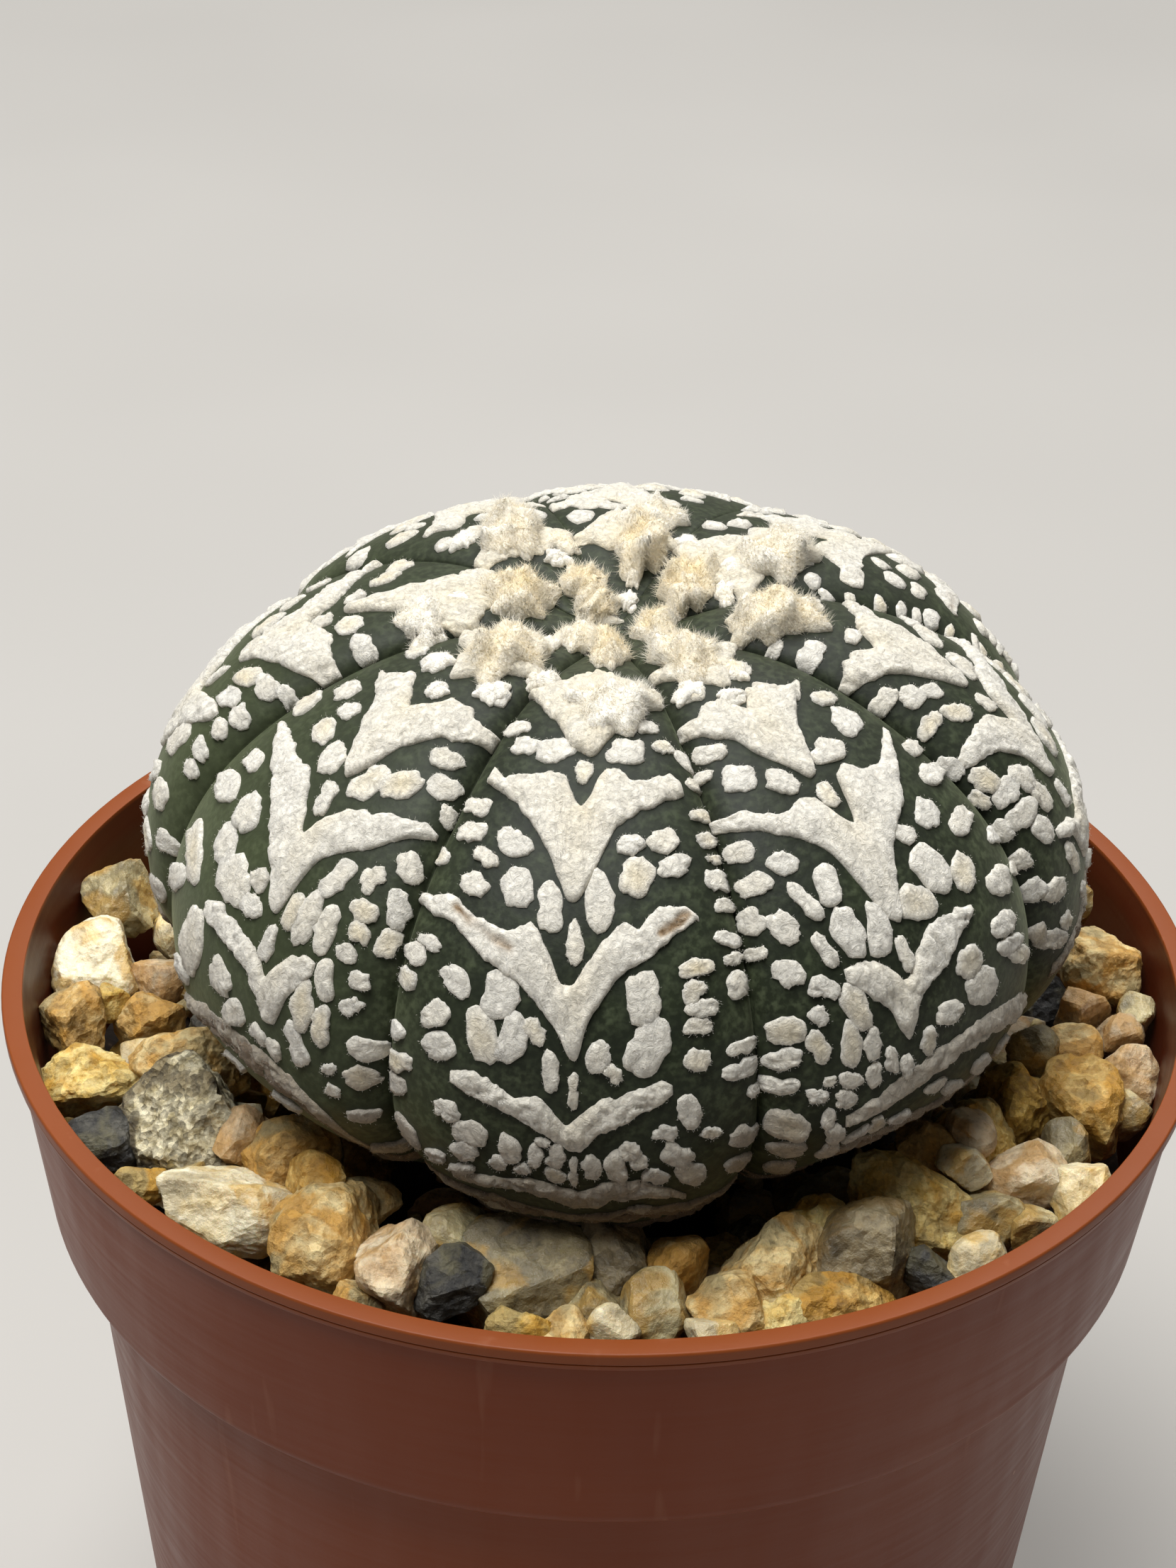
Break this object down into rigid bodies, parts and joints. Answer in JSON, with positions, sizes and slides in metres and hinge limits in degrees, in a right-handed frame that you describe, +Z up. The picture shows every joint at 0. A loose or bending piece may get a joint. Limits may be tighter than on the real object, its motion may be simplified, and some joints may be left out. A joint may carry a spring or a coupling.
{
  "type": "potted star cactus",
  "caption": "Round ribbed star cactus with white felt chevrons and flecks, standing in mixed grit in a small tapered plastic pot.",
  "frame": {"origin": "centre of the pot's underside, on the surface it stands on", "axes": "+Z up along the pot's axis, -Y towards the front of the plant as pictured"},
  "size_m": [0.07, 0.07, 0.0885],
  "materials": {
    "pot_plastic": "satin moulded terracotta-brown plastic",
    "potting_mix": "damp dark crumbly mineral potting mix",
    "grit_stone": "broken quartz and granite grit, ochre, cream, grey and black, matt",
    "cactus_skin": "dark green waxy skin with raised white felt chevrons and flecks"
  },
  "bodies": {
    "root": {"pot": "pot_plastic", "potting_mix": "potting_mix", "gravel": "grit_stone", "cactus": "cactus_skin"}
  },
  "joints": []
}
